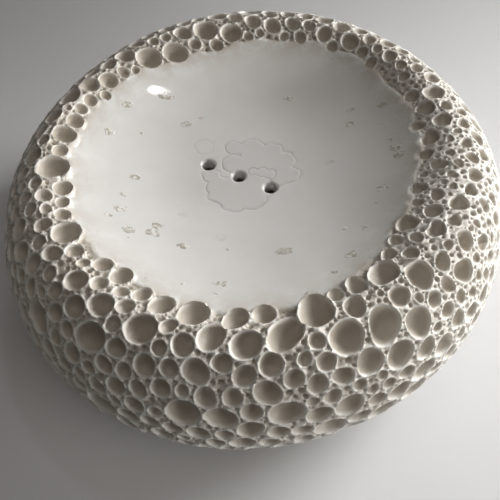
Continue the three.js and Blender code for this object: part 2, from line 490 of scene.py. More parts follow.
class Relief:
    """How far each point of the surface stands in or out, and what shows there."""

    def __init__(self, cups):
        self.cups = cups
        self.finder = CupFinder(cups)
        self.cup_glazed = smoothstep(glaze_edge(cups.angle) - cups.run, -0.5, 1.4)
        near_side = smoothstep(-0.5 * np.cos(cups.angle) - 0.87 * np.sin(cups.angle), -0.2, 0.5)
        on_lip = 1.0 - smoothstep(cups.run - cups.radius - glaze_edge(cups.angle), 1.0, 5.0)
        self.tilt = CUP_TILT * near_side * on_lip * (cups.radius > BUBBLE_RADIUS_RANGE[1])

    def at(self, angle, run):
        points, normal, _, _ = pebble.place(angle, run)
        owner, out, share = self.finder.nearest(points)
        depth, rim = self.cups.depth[owner], self.cups.rim[owner]
        glazed = smoothstep(glaze_edge(angle) - run, -0.5, 1.4)
        held = 1.0 - np.clip(share, 0.0, 1.0) ** 6
        glazed = glazed + (self.cup_glazed[owner] - glazed) * held
        bare = 1.0 - glazed
        grain = bumpy(points, 2.2, 1.0)
        ground = -GROUND_DEPTH * bare + 0.22 * grain * bare
        uneven = torn(angle) * bare
        rim = rim + uneven * (0.35 * bumpy(points, 3.4, 2.0) - 0.1)
        rim = rim * bare + glazed * np.minimum(rim, -0.05)
        ridge = np.exp(-(((out - RIM_PEAK_OUT) / RIM_WIDTH) ** 2))
        outside = ground + (rim - ground) * ridge
        at_edge = ground + (rim - ground) * math.exp(-((RIM_PEAK_OUT / RIM_WIDTH) ** 2))
        bowl = (1.0 - np.clip(share, 0.0, 1.0) ** 2.2) ** 0.68
        inside = at_edge - depth * bowl + 0.07 * grain * bowl
        height = np.where(out < 0.0, inside, outside)
        raised = np.clip(0.6 * self.cups.radius[owner] + self.cups.run[owner] - run, 0.0, None)
        height = height + self.tilt[owner] * raised * np.where(out < 0.0, 1.0, ridge)
        reach = pebble.run_foot - run
        plain = 1.0 - smoothstep(reach, 0.6 * PLAIN_FOOT_BAND, 1.25 * PLAIN_FOOT_BAND)
        height = height * (1.0 - plain)
        height = height + 0.35 * bumpy(points, 34.0, 3.0) * smoothstep(reach, 0.0, 25.0)
        line = np.zeros(len(points))
        flat = run < BLOOM_WITHIN
        line[flat] = bloom_line(points[flat])
        within = np.zeros(len(points))
        within[flat] = 1.0 - smoothstep(bloom_distance(points[flat], BLOOM), -0.8, 0.2)
        height = height + BLOOM_RISE * within - BLOOM_GROOVE * line
        into = HOLE_ROUNDING - np.clip(hole_distance(points), 0.0, HOLE_ROUNDING)
        rounded = HOLE_ROUNDING - np.sqrt(HOLE_ROUNDING**2 - into**2)
        height = height - rounded * (points[:, 2] < MOUTH_HEIGHT)
        # Painted shade: the cups' hollows are darkened more the deeper they are, standing in for the
        # shade inside each cup.
        hollow = (1.0 - np.clip(share, 0.0, 1.0) ** 2) * np.clip(depth / 3.2, 0.0, 1.0)
        painted_cup_shade = np.where(out < 0.0, hollow, 0.0) * (1.0 - plain) * (1.0 - 0.8 * uneven)
        pale = np.where(self.cups.radius[owner] > BUBBLE_RADIUS_RANGE[1], 1.0, 0.3 + 0.5 * uneven)
        shade = {
            "glaze": glazed * smoothstep(out, -0.25, 0.5),
            "painted_cup_shade": painted_cup_shade,
            "ridge": np.where(out < 0.0, smoothstep(share, 0.9, 1.0), ridge) * pale * bare,
            "ground": np.where(out < 0.0, 0.0, 1.0 - ridge * pale) * bare * (1.0 - 0.5 * uneven),
            "thin": np.exp(-np.clip(glaze_edge(angle) - run, 0.0, 90.0) / 6.5),
            "crystals": smoothstep(run, 34.0, 52.0) * (1.0 - smoothstep(run, 74.0, 80.0)),
            "line": line,
            "bloom": within,
        }
        pressed = np.where(out < 0.0, held, 0.0)[:, None]
        level = ((points - self.cups.centre[owner]) * self.cups.normal[owner]).sum(1)[:, None]
        points = points - self.cups.normal[owner] * level * pressed
        normal = normal + (self.cups.normal[owner] - normal) * pressed
        return points + normal * height[:, None], shade


# ---- where the mesh has its points
class PointBag:
    """Collects surface points, and the loops of them that mesh edges must follow."""

    def __init__(self):
        self.angle, self.run, self.edges, self.borders, self.count = [], [], [], {}, 0

    def add(self, angle, run):
        self.angle.append(wrap(angle))
        self.run.append(run)
        self.count += len(angle)

    def add_loop(self, angle, run, border=None):
        ids = np.arange(self.count, self.count + len(angle))
        if border is None:
            self.edges.append(np.stack([ids, np.roll(ids, -1)], 1))
        else:
            self.borders[border] = ids
        self.add(angle, run)

    def all(self):
        return np.concatenate(self.angle), np.concatenate(self.run), np.concatenate(self.edges)


def ring_of(cups, i, bearing, share, out):
    """Points round cup i, at a share of its outline's radius plus a distance out from it."""
    rim = cups.outline(np.full(len(bearing), i), bearing)
    reach = rim * share + out
    angle = cups.angle[i] + reach * np.cos(bearing) / cups.per_angle[i]
    run = cups.run[i] + reach * np.sin(bearing) / cups.per_run[i]
    for _ in range(2):
        offset = pebble.point(angle, run) - cups.centre[i]
        across, ahead = offset @ cups.side[i], offset @ cups.down[i]
        fix = reach / np.maximum(np.hypot(across, ahead), 1e-9)
        angle = cups.angle[i] + (angle - cups.angle[i]) * fix
        run = cups.run[i] + (run - cups.run[i]) * fix
    return angle, run


# Rings round a cup or bubble: share of its outline's radius, distance out, use every so many points
CUP_RINGS = (
    (1.0, 0.0, 1), (0.965, 0.0, 1), (0.87, 0.0, 1), (0.7, 0.0, 2), (0.48, 0.0, 2), (0.24, 0.0, 4),
)
CUP_RIM_RINGS = ((1.0, 0.2, 1), (1.0, 0.5, 1), (1.0, 0.9, 1))
BUBBLE_RINGS = ((1.0, 0.0, 1), (0.6, 0.0, 2))
BUBBLE_RIM_RINGS = ((1.0, 0.32, 1),)
RING_SPACING = 1.45
RING_POINTS = (14, 32)
CENTRE_MARGIN = 1.0
FOOT_MARGIN = 0.4


def points_round(radius, small):
    """How many points a ring has: seven or nine for a bubble, an even number for a cup."""
    if small:
        return 7 if radius < 0.8 else 9
    wanted = round(2 * math.pi * radius / RING_SPACING)
    count = int(min(max(wanted, RING_POINTS[0]), RING_POINTS[1]))
    return count + count % 2


def add_cup_points(bag, cups, relief):
    """Rings of points down into every cup and out over its rim."""
    loose_angle, loose_run, loose_owner = [], [], []
    for i, radius in enumerate(cups.radius):
        small = radius < BUBBLE_RADIUS_RANGE[1] + 0.01
        count = points_round(radius, small)
        start = 0.37 * i
        for share, out, skip in BUBBLE_RINGS if small else CUP_RINGS:
            bearing = start + 2 * math.pi * np.arange(0, count, skip) / count
            angle, run = ring_of(cups, i, bearing, share, out)
            if run.min() < CENTRE_MARGIN or run.max() > pebble.run_foot - FOOT_MARGIN:
                continue
            if share == 1.0 and not small:
                bag.add_loop(angle, run)
            else:
                bag.add(angle, run)
        bag.add(cups.angle[i : i + 1], cups.run[i : i + 1])
        for share, out, skip in BUBBLE_RIM_RINGS if small else CUP_RIM_RINGS:
            bearing = start + 2 * math.pi * np.arange(0, count, skip) / count
            angle, run = ring_of(cups, i, bearing, share, out)
            loose_angle.append(angle)
            loose_run.append(run)
            loose_owner.append(np.full(len(angle), i))
    angle, run = np.concatenate(loose_angle), np.concatenate(loose_run)
    owner, out, _ = relief.finder.nearest(pebble.point(angle, run))
    keep = (owner == np.concatenate(loose_owner)) & (out > 0.12)
    keep &= (run < pebble.run_foot - FOOT_MARGIN) & (run > CENTRE_MARGIN)
    bag.add(angle[keep], run[keep])


FILLER_TRIES = 29000
FILLER_CLEARANCE = 0.75
GLAZE_EDGE_ROWS = (-1.6, -0.9, -0.3, 0.3)
GLAZE_EDGE_POINTS = 560
DISH_ROW_SPACING = 1.55
DISH_POINT_SPACING = 1.6


def add_fillers(bag, relief):
    """Points on the ground between rims, along the glaze's edge and over the smooth dish."""
    angle = rng.uniform(-math.pi, math.pi, FILLER_TRIES)
    run = rng.uniform(pebble.run_mouth - 4.0, pebble.run_foot, FILLER_TRIES)
    wide = np.interp(run, pebble.run, pebble.radius) / BODY_RADIUS
    keep = rng.uniform(0.0, 1.0, FILLER_TRIES) < wide
    angle, run = angle[keep], run[keep]
    _, out, _ = relief.finder.nearest(pebble.point(angle, run))
    keep = (out > FILLER_CLEARANCE) & (run < pebble.run_foot - 0.6)
    bag.add(angle[keep], run[keep])
    for offset in GLAZE_EDGE_ROWS:
        turn = np.linspace(-math.pi, math.pi, GLAZE_EDGE_POINTS, endpoint=False) + offset
        turn = wrap(turn)
        edge_run = glaze_edge(turn) + offset
        _, out, _ = relief.finder.nearest(pebble.point(turn, edge_run))
        bag.add(turn[out > 0.25], edge_run[out > 0.25])
    for run_at in np.arange(1.5, pebble.run_mouth - 2.5, DISH_ROW_SPACING):
        turns = max(8, int(2 * math.pi * run_at / DISH_POINT_SPACING))
        turn = np.linspace(-math.pi, math.pi, turns, endpoint=False) + run_at
        level = np.full(turns, run_at)
        points = pebble.point(wrap(turn), level)
        _, out, _ = relief.finder.nearest(points)
        clear = (out > 0.4) & (hole_distance(points) > HOLE_ROUNDING + 0.4)
        bag.add(turn[clear], level[clear])


def plan_to_surface(points):
    """(angle, run) of points of the dish given by where they are seen from above."""
    angle, run = to_polar(points)
    for _ in range(30):
        here = pebble.point(angle, run)[:, :2]
        angle, run = to_polar(polar(run, angle) + (points - here))
    return angle, run


def circle(centre, radius, count):
    turn = np.linspace(0.0, 2 * math.pi, count, endpoint=False)
    return np.array(centre) + polar(radius, turn)


HOLE_POINTS = 40
HOLE_RING_SHARES = (0.0, 0.12, 0.3, 0.5, 0.75, 1.0)
BLOOM_ROWS = (-0.75, -0.4, -0.17, 0.0, 0.17, 0.4, 0.75)


def add_dish_details(bag):
    """Rings over the stem holes' rounded edges, and rows along the outlines in the bloom."""
    for number, hole in enumerate(HOLES):
        for share in HOLE_RING_SHARES:
            radius = STEM_HOLE_RADIUS + share * HOLE_ROUNDING
            ring = plan_to_surface(circle(hole, radius, HOLE_POINTS))
            if share == 0.0:
                bag.add_loop(*ring, border=f"hole{number}")
            else:
                bag.add(*ring)
    for scallops in (BLOOM, BLOOM_INNER, BLOOM_RING):
        for x, y, radius in scallops:
            centre = (STEM_ROW_CENTRE[0] + x, STEM_ROW_CENTRE[1] + y)
            for out in BLOOM_ROWS:
                points = circle(centre, radius + out, int(radius * 11))
                on_line = np.abs(bloom_distance(points, scallops) - out) < 0.06
                clear = hole_distance(points) > HOLE_ROUNDING + 0.3
                bag.add(*plan_to_surface(points[on_line & clear]))


BORDER_POINTS = 600
BORDER_CLEARANCE = 0.25
DISH_EDGE_INSET = 4.4


def dish_edge(angle):
    """Run at which the dish meets the wall: under glaze, further in than the cups bite."""
    return glaze_edge(angle) - DISH_EDGE_INSET


def add_borders(bag):
    turn = np.linspace(-math.pi, math.pi, BORDER_POINTS, endpoint=False)
    bag.add_loop(turn, dish_edge(turn), border="dish")
    bag.add_loop(turn, np.full(BORDER_POINTS, pebble.run_belly), border="belly")
    bag.add_loop(turn, np.full(BORDER_POINTS, pebble.run_foot), border="foot")


def joined_plan(flat, edges, regions, tolerance):
    """Delaunay triangles over plan points that keep the given edges and regions."""
    return delaunay_2d_cdt([Vector(p) for p in flat.tolist()], edges, regions, 0, tolerance)


def triangulate(bag):
    """Joins all points into one mesh whose edges follow every loop and border.

    Returns angle, run, faces, and for each border whether a face lies inside it.
    """
    angle, run, edges = bag.all()
    near = np.abs(run - dish_edge(angle)) < BORDER_CLEARANCE
    near |= np.abs(run - pebble.run_belly) < BORDER_CLEARANCE
    looped = np.zeros(len(run), bool)
    looped[edges.ravel()] = True
    for ids in bag.borders.values():
        looped[ids] = True
    keep = looped | ~near
    renumber = np.cumsum(keep) - 1
    flat = pebble.to_map(angle[keep], run[keep])
    regions = [renumber[ids].tolist() for ids in bag.borders.values()]
    made = joined_plan(flat, renumber[edges].tolist(), regions, 1e-5)
    flat = np.array([tuple(v) for v in made[0]])
    faces = np.array(made[2])
    inside = {}
    for k, name in enumerate(bag.borders):
        inside[name] = np.array([k in origin for origin in made[5]])
    angle, run = pebble.from_map(flat)
    return angle, run, faces, inside


# ---- closed pieces
def boundary_loops(faces):
    """The open edges of a mesh as rings of vertex numbers, each in the direction its faces turn."""
    edges = np.concatenate([faces[:, [0, 1]], faces[:, [1, 2]], faces[:, [2, 0]]])
    size = faces.max() + 1
    forward = edges[:, 0] * size + edges[:, 1]
    backward = edges[:, 1] * size + edges[:, 0]
    open_edges = edges[~np.isin(forward, backward)]
    follow = dict(open_edges.tolist())
    loops = []
    while follow:
        start, here = follow.popitem()
        ring = [start]
        while here != start:
            ring.append(here)
            here = follow.pop(here)
        loops.append(np.array(ring))
    return loops


# The masks each piece carries; the cup-depth mask among them paints shade into the cups.
SHADES = ("glaze", "painted_cup_shade", "ridge", "ground", "thin", "crystals", "line", "bloom")


class Shell:
    """One closed piece, gathered patch by patch, each patch with its own place in the UV square."""

    def __init__(self, points, angle, run, shade):
        self.points, self.angle, self.run = points, angle, run
        self.shade = {name: shade[name] for name in SHADES}
        self.faces, self.uv = [], []

    @classmethod
    def of_faces(cls, surface, chosen):
        """A shell with the chosen faces' vertices only, and those faces renumbered."""
        angle, run, points, shade, faces = surface
        used, renumbered = np.unique(faces[chosen], return_inverse=True)
        shade = {name: values[used] for name, values in shade.items()}
        return cls(points[used], angle[used], run[used], shade), renumbered.reshape(-1, 3)

    def more_points(self, points, **shade):
        first = len(self.points)
        count = len(points)
        self.points = np.concatenate([self.points, points])
        self.angle = np.concatenate([self.angle, np.arctan2(points[:, 1], points[:, 0])])
        self.run = np.concatenate([self.run, np.zeros(count)])
        for name in SHADES:
            fill = np.broadcast_to(shade.get(name, 0.0), count)
            self.shade[name] = np.concatenate([self.shade[name], fill])
        return np.arange(first, first + count)

    def add(self, faces, uv):
        self.faces.append(faces)
        self.uv.append(uv)

    def sharpen(self, mesh):
        """Keeps the outer surface's shading apart from the faces that close the piece."""
        outer = boundary_loops(self.faces[0])
        ends = np.empty(2 * len(mesh.edges), np.int32)
        mesh.edges.foreach_get("vertices", ends)
        ends = ends.reshape(-1, 2)
        size = len(self.points)
        around = np.concatenate([np.stack([ring, np.roll(ring, -1)], 1) for ring in outer])
        around = around.min(1) * size + around.max(1)
        sharp = np.isin(ends.min(1).astype(np.int64) * size + ends.max(1), around)
        layer = mesh.attributes.new("sharp_edge", "BOOLEAN", "EDGE")
        layer.data.foreach_set("value", sharp)

    def made(self, name):
        """The piece as a Blender object, in metres, smooth, with its masks and its UV map."""
        faces, uv = np.concatenate(self.faces), np.concatenate(self.uv)
        mesh = bpy.data.meshes.new(name)
        mesh.vertices.add(len(self.points))
        mesh.vertices.foreach_set("co", (self.points * MM).ravel())
        mesh.loops.add(faces.size)
        mesh.loops.foreach_set("vertex_index", faces.ravel().astype(np.int32))
        mesh.polygons.add(len(faces))
        mesh.polygons.foreach_set("loop_start", np.arange(0, faces.size, 3, dtype=np.int32))
        mesh.polygons.foreach_set("use_smooth", np.ones(len(faces), bool))
        mesh.update(calc_edges=True)
        self.sharpen(mesh)
        for shade, values in self.shade.items():
            layer = mesh.attributes.new(shade, "FLOAT", "POINT")
            layer.data.foreach_set("value", values.astype(np.float32))
        layer = mesh.uv_layers.new(name="OFBake")
        layer.data.foreach_set("uv", uv.reshape(-1).astype(np.float32))
        mesh.validate()
        made = bpy.data.objects.new(name, mesh)
        bpy.context.collection.objects.link(made)
        return made


def corner_angles(angle, faces):
    """Angles at the corners of each face, unbroken across the half turn."""
    corners = angle[faces]
    first = corners[:, :1]
    return first + wrap(corners - first)


def strip_uv(angle, along, faces, low, high, strips=1):
    """Corners of faces laid out as strips, one above another, each a part of the way round."""
    corners = corner_angles(angle, faces)
    turn = (corners + math.pi) / (2 * math.pi) * strips
    strip = np.clip(np.floor(turn.mean(1)), 0, strips - 1)
    u = 0.015 + 0.97 * (turn - strip[:, None])
    tall = (high - low) / strips
    v = low + tall * (strip[:, None] + 0.02 + 0.96 * along[faces])
    return np.stack([u, v], 2)


def disc_uv(flat, faces, centre, scale):
    return np.array(centre) + scale * flat[faces]


def band_between(count):
    """Faces between a ring of count points and the ring below it, numbered one after the other."""
    n = np.arange(count)
    m = np.roll(n, -1)
    upper, lower = np.stack([m, n, n + count], 1), np.stack([m, n + count, m + count], 1)
    return np.concatenate([upper, lower])


def inner_sheet(shell, first, last, profile, around=150, twist=0.02):
    """Closes a wall: a sheet from one open loop to another by way of a profile of (radius, height)."""
    turn = np.linspace(-math.pi, math.pi, around, endpoint=False)
    turns = [turn + twist * k for k in range(len(profile))]
    rows = []
    for (radius, height), bearing in zip(profile, turns):
        rows.append(hand_plan(np.full(around, float(radius)), np.full(around, float(height)), bearing))
    ids = shell.more_points(np.concatenate(rows))
    between = (np.arange(len(rows)) + 1) / (len(rows) + 1)
    level = [np.zeros(len(first)), np.ones(len(last)), np.repeat(between, around)]
    level = np.concatenate(level)
    everyone = np.concatenate([first, last, ids])
    bearing = np.concatenate([shell.angle[first], shell.angle[last], *turns])
    loops = (np.arange(len(first)), len(first) + np.arange(len(last)))
    edges = np.concatenate([np.stack([ring, np.roll(ring, -1)], 1) for ring in loops])
    made = joined_plan(polar(1.0 + level, bearing), edges.tolist(), [], 1e-7)
    faces = np.array(made[2])
    faces = faces[(faces >= len(first)).any(1)][:, ::-1]
    shell.add(everyone[faces], strip_uv(bearing, level, faces, 0.93, 0.99))


def outer_wall(surface, chosen, low_run, high_run):
    shell, faces = Shell.of_faces(surface, chosen)
    along = (shell.run - low_run) / (high_run - low_run)
    shell.add(faces, strip_uv(shell.angle, along, faces, 0.01, 0.92, strips=3))
    loops = sorted(boundary_loops(faces), key=lambda ring: shell.run[ring].mean())
    return shell, loops


def inner_quarter(centre_height, rise, centre_radius, reach, fullness, steps):
    turn = np.linspace(0.0, math.pi / 2, steps)
    radius = centre_radius + reach * np.clip(np.cos(turn), 0.0, 1.0) ** (2 / fullness)
    height = centre_height + rise * np.sin(turn) ** (2 / fullness)
    return list(zip(radius, height))


def make_upper_wall(surface, chosen):
    low = float(dish_edge(np.linspace(-math.pi, math.pi, 720)).min())
    shell, loops = outer_wall(surface, chosen, low, pebble.run_belly)
    inside = inner_quarter(
        BELLY_HEIGHT, BODY_HEIGHT - BELLY_HEIGHT - WALL_THICKNESS, CREST_RADIUS,
        BODY_RADIUS - CREST_RADIUS - WALL_THICKNESS, SHOULDER_FULLNESS, 8,
    )
    under_lip = [
        (MOUTH_RADIUS - 3.0, MOUTH_HEIGHT - DISH_STACK - 1.5),
        (MOUTH_RADIUS + 2.0, MOUTH_HEIGHT - DISH_STACK),
    ]
    inner_sheet(shell, loops[0], loops[1], under_lip + inside[::-1])
    return shell.made("upper_wall_textured")


def make_lower_wall(surface, chosen):
    shell, loops = outer_wall(surface, chosen, pebble.run_belly, pebble.run_foot)
    inside = inner_quarter(
        BELLY_HEIGHT, WALL_THICKNESS - BELLY_HEIGHT, FOOT_RADIUS,
        BODY_RADIUS - FOOT_RADIUS - WALL_THICKNESS, UNDERSIDE_FULLNESS, 9,
    )
    inner_sheet(shell, loops[0], loops[1], inside)
    return shell.made("lower_wall_textured")


# Down a stem hole: how much wider than its radius, and how far down as a share of the way
HOLE_STEPS = ((0.0, 0.3), (0.0, 0.62), (0.0, 0.9), (0.18, 0.97), (0.55, 1.0))
DISH_PROFILE_POINTS = 330
UNDERSIDE_SPACING = 5.0


def add_hole_wall(shell, ring, number):
    """The wall of a stem hole, down from the ring round its top. Returns the ring at its bottom."""
    middle = shell.points[ring].mean(0)
    spoke = shell.points[ring] - middle
    spoke = spoke / np.linalg.norm(spoke[:, :2], axis=1, keepdims=True)
    ring_angle = np.arctan2(spoke[:, 1], spoke[:, 0])
    top = shell.points[ring][:, 2].mean()
    bottom = top + HOLE_ROUNDING - DISH_STACK
    above, above_level = ring, 0.0
    for wider, level in HOLE_STEPS:
        points = middle + spoke * (STEM_HOLE_RADIUS + wider)
        points[:, 2] = top + (bottom - top) * level
        below = shell.more_points(points, glaze=1.0 - smoothstep(level, 0.5, 0.8))
        levels = np.repeat([above_level, level], len(ring))
        band = band_between(len(ring))
        low = 0.3 + 0.1 * number
        uv = strip_uv(np.tile(ring_angle, 2), levels, band, low, 0.38 + 0.1 * number)
        uv[..., 0] = 0.84 + 0.15 * uv[..., 0]
        shell.add(np.concatenate([above, below])[band], uv)
        above, above_level = below, level
    return above


def add_underside(shell, rings):
    """The dish's underside, inside the first ring and outside the others."""
    grid = []
    for reach in np.arange(UNDERSIDE_SPACING, MOUTH_RADIUS - 7.0, UNDERSIDE_SPACING):
        ring = circle((0.0, 0.0), reach, max(6, int(reach)))
        grid.append(ring[hole_distance(ring) > 2.5])
    turn, reach = to_polar(np.concatenate(grid))
    dish = slice(0, DISH_PROFILE_POINTS)
    height = np.interp(reach, pebble.radius[dish], pebble.height[dish]) - DISH_STACK
    everyone = np.concatenate([*rings, shell.more_points(hand_plan(reach, height, turn))])
    regions, first = [], 0
    for ring in rings:
        ids = np.arange(first, first + len(ring))
        regions.append((ids if first == 0 else ids[::-1]).tolist())
        first += len(ring)
    plan = shell.points[everyone][:, :2]
    made = joined_plan(plan, [], regions, 1e-6)
    kept = np.array([origin == [0] for origin in made[5]])
    faces = np.array(made[2])[kept][:, ::-1]
    shell.add(everyone[faces], disc_uv(plan, faces, (0.91, 0.09), 0.08 / 84.0))


def make_dish(surface, chosen):
    """The glazed dish: its top, its stem holes, its underside and the edge where it meets the wall."""
    shell, faces = Shell.of_faces(surface, chosen)
    scale = 0.405 / (pebble.run_mouth + 1.0)
    shell.add(faces, disc_uv(polar(shell.run, shell.angle), faces, (0.415, 0.415), scale))
    loops = sorted(boundary_loops(faces), key=len)
    hole_bottoms = [add_hole_wall(shell, ring, number) for number, ring in enumerate(loops[:-1])]
    rim = loops[-1]
    lower = shell.more_points(shell.points[rim] - np.array([0.0, 0.0, DISH_STACK]))
    both = np.concatenate([rim, lower])
    band = band_between(len(rim))
    levels = np.repeat([0.0, 1.0], len(rim))
    shell.add(both[band], strip_uv(shell.angle[both], levels, band, 0.86, 0.9))
    add_underside(shell, [lower, *hole_bottoms])
    return shell.made("glazed_dish")


# ---- materials
class Nodes:
    """A material's node tree, with short ways to add the nodes used here."""

    def __init__(self, name):
        self.material = bpy.data.materials.new(name)
        self.material.use_nodes = True
        self.tree = self.material.node_tree
        self.tree.nodes.clear()
        self.output = self.node("ShaderNodeOutputMaterial")
        self.shader = self.node("ShaderNodeBsdfPrincipled")
        self.tree.links.new(self.shader.outputs[0], self.output.inputs[0])
        self.place = self.node("ShaderNodeTexCoord").outputs["Object"]

    def set(self, socket, value):
        if isinstance(value, bpy.types.NodeSocket):
            self.tree.links.new(value, socket)
        else:
            socket.default_value = value

    def node(self, kind, inputs=(), **settings):
        """A new node with its settings, and its inputs set or linked by name or number."""
        made = self.tree.nodes.new(kind)
        for name, value in settings.items():
            setattr(made, name, value)
        for socket, value in dict(inputs).items():
            self.set(made.inputs[socket], value)
        return made

    def mask(self, name):
        return self.node("ShaderNodeAttribute", attribute_name=name).outputs["Fac"]

    def noise(self, size_mm, detail=3.0, roughness=0.5):
        inputs = {"Vector": self.place, "Scale": 1.0 / (size_mm * MM)}
        inputs.update(Detail=detail, Roughness=roughness)
        return self.node("ShaderNodeTexNoise", inputs).outputs["Fac"]

    def cells(self, size_mm, place):
        """Distance from the nearest cell's middle, and three random numbers for each cell."""
        inputs = {"Vector": place, "Scale": 1.0 / (size_mm * MM)}
        made = self.node("ShaderNodeTexVoronoi", inputs, feature="F1")
        chance = self.node("ShaderNodeSeparateColor", {0: made.outputs["Color"]})
        return made.outputs["Distance"], chance.outputs

    def dots(self, size_mm, place):
        """Distance from the nearest of a scatter of points."""
        inputs = {"Vector": place, "Scale": 1.0 / (size_mm * MM)}
        return self.node("ShaderNodeTexVoronoi", inputs, feature="F1").outputs["Distance"]

    def math(self, operation, a, b=0.0, c=0.0):
        return self.node("ShaderNodeMath", {0: a, 1: b, 2: c}, operation=operation).outputs[0]

    def times(self, a, b):
        return self.math("MULTIPLY", a, b)

    def span(self, value, low, high, to_low=0.0, to_high=1.0, kind="SMOOTHSTEP"):
        """Takes the range low to high over to another range, and holds it beyond the ends."""
        inputs = dict(enumerate((value, low, high, to_low, to_high)))
        made = self.node("ShaderNodeMapRange", inputs, interpolation_type=kind, clamp=True)
        return made.outputs[0]

    def mix(self, amount, first, second):
        """Mixes two colours, each a socket or a plain colour."""
        inputs = {"Factor": amount}
        for socket, colour in ((6, first), (7, second)):
            inputs[socket] = (*colour, 1.0) if isinstance(colour, tuple) else colour
        return self.node("ShaderNodeMix", inputs, data_type="RGBA", clamp_factor=True).outputs[2]

    def mix_value(self, amount, first, second):
        inputs = {0: amount, 2: first, 3: second}
        return self.node("ShaderNodeMix", inputs, data_type="FLOAT", clamp_factor=True).outputs[0]

    def tint(self, colour, mask, strength, paint):
        """Lays a colour over another where a mask is, up to a strength."""
        return self.mix(self.times(mask, strength), colour, paint)

    def warped(self, size_mm, amount_mm):
        """Object coordinates pushed about by noise, so that patterns lose their regular edges."""
        inputs = {"Vector": self.place, "Scale": 1.0 / (size_mm * MM)}
        push = self.node("ShaderNodeTexNoise", inputs).outputs["Color"]
        inputs = {0: push, 1: [2.0 * amount_mm * MM] * 3, 2: [-amount_mm * MM] * 3}
        centred = self.node("ShaderNodeVectorMath", inputs, operation="MULTIPLY_ADD")
        inputs = {0: self.place, 1: centred.outputs[0]}
        return self.node("ShaderNodeVectorMath", inputs, operation="ADD").outputs[0]

    def bump(self, height, depth_mm):
        inputs = {"Strength": 1.0, "Distance": depth_mm * MM, "Height": height}
        return self.node("ShaderNodeBump", inputs).outputs[0]

    def finish(self, colour, roughness, normal, specular=0.5):
        self.set(self.shader.inputs["Base Color"], colour)
        self.set(self.shader.inputs["Roughness"], roughness)
        self.set(self.shader.inputs["Normal"], normal)
        self.shader.inputs["Specular IOR Level"].default_value = specular
        return self.material


def crystals(n):
    """Masks of the crystal flecks in the glaze: all, the dark grains, the bright ones, the height."""
    inputs = {0: n.warped(2.6, 1.7), 1: (0.62, 1.0, 1.0)}
    longer = n.node("ShaderNodeVectorMath", inputs, operation="MULTIPLY").outputs[0]
    distance, chance = n.cells(8.5, longer)
    reach = n.span(chance[0], 0.0, 1.0, 0.1, 0.3, kind="LINEAR")
    inside = n.span(n.math("SUBTRACT", reach, distance), 0.0, 0.04)
    _, shade = n.cells(1.25, n.warped(1.0, 0.3))
    present = n.times(n.span(chance[1], 0.2, 0.24), n.mask("crystals"))
    crystal = n.times(inside, present)
    fleck = n.times(crystal, n.span(shade[0], 0.5, 0.58))
    spark = n.times(crystal, n.span(shade[1], 0.62, 0.7))
    return crystal, fleck, spark, n.times(crystal, shade[2])


def glaze_look(n):
    """Colour, roughness and height of the white crystalline glaze."""
    cloud = n.noise(38.0, detail=4.0)
    colour = n.mix(n.span(cloud, 0.35, 0.7), (0.84, 0.835, 0.82), (0.78, 0.772, 0.752))
    veil = n.noise(9.0, detail=6.0, roughness=0.65)
    thin = n.times(n.mask("thin"), n.span(veil, 0.3, 0.62))
    colour = n.tint(colour, thin, 0.85, (0.50, 0.43, 0.345))
    crystal, fleck, spark, raised = crystals(n)
    colour = n.tint(colour, crystal, 0.6, (0.56, 0.52, 0.44))
    colour = n.tint(colour, fleck, 0.75, (0.42, 0.375, 0.30))
    colour = n.tint(colour, spark, 0.8, (0.90, 0.89, 0.86))
    line = n.times(n.mask("line"), n.span(n.noise(5.0), 0.38, 0.6, 0.15, 1.0))
    colour = n.tint(colour, n.mask("bloom"), 0.35, (0.70, 0.695, 0.68))
    colour = n.tint(colour, line, 0.45, (0.38, 0.365, 0.34))
    smooth = n.span(n.noise(14.0), 0.3, 0.7, 0.045, 0.09)
    roughness = n.math("ADD", smooth, n.times(fleck, 0.3))
    swell = n.times(n.noise(13.0, detail=2.0), 0.1)
    return colour, roughness, n.math("MULTIPLY_ADD", raised, 0.25, swell)


def clay_look(n):
    """Colour, roughness and height of the cream clay with its thin matt glaze, with shade painted into
    its cups, pinholes and ground.
    """
    stain = n.noise(26.0, detail=5.0, roughness=0.6)
    grain = n.noise(1.1, detail=4.0, roughness=0.6)
    # Cup walls are darker than the rims: partly the clay's own tone, partly painted shade.
    cup = n.mix(n.span(stain, 0.35, 0.68), (0.62, 0.575, 0.51), (0.55, 0.50, 0.43))
    ridge = n.mix(n.span(grain, 0.3, 0.7), (0.87, 0.85, 0.81), (0.83, 0.805, 0.755))
    # The ground between rims is darker: partly real staining, partly painted shade in the recess.
    ground = n.mix(n.span(grain, 0.35, 0.65), (0.47, 0.42, 0.35), (0.37, 0.325, 0.26))
    # Painted shade: pits are dark dots standing for the shade inside pinholes in the ground.
    pits = n.times(n.span(n.dots(1.05, n.warped(1.2, 0.25)), 0.36, 0.2), n.mask("ground"))
    pits = n.times(pits, n.span(n.noise(2.6), 0.38, 0.52))
    colour = n.mix(n.mask("ground"), cup, ground)
    colour = n.tint(colour, pits, 0.8, (0.24, 0.20, 0.15))
    colour = n.mix(n.mask("ridge"), colour, ridge)
    # Painted shade: the cups darken towards their bottoms.
    colour = n.tint(colour, n.mask("painted_cup_shade"), 0.62, (0.37, 0.32, 0.26))
    speck = n.span(n.dots(2.4, n.warped(1.5, 0.5)), 0.13, 0.05)
    speck = n.times(speck, n.span(n.noise(7.0), 0.5, 0.62))
    colour = n.tint(colour, speck, 0.4, (0.40, 0.33, 0.25))
    roughness = n.span(n.noise(5.0, detail=4.0), 0.3, 0.7, 0.42, 0.6)
    roughness = n.math("ADD", roughness, n.times(n.mask("ground"), 0.15))
    height = n.math("MULTIPLY_ADD", grain, 0.09, n.times(n.noise(0.45, detail=2.0), 0.04))
    return colour, roughness, n.math("SUBTRACT", height, n.times(pits, 0.4))


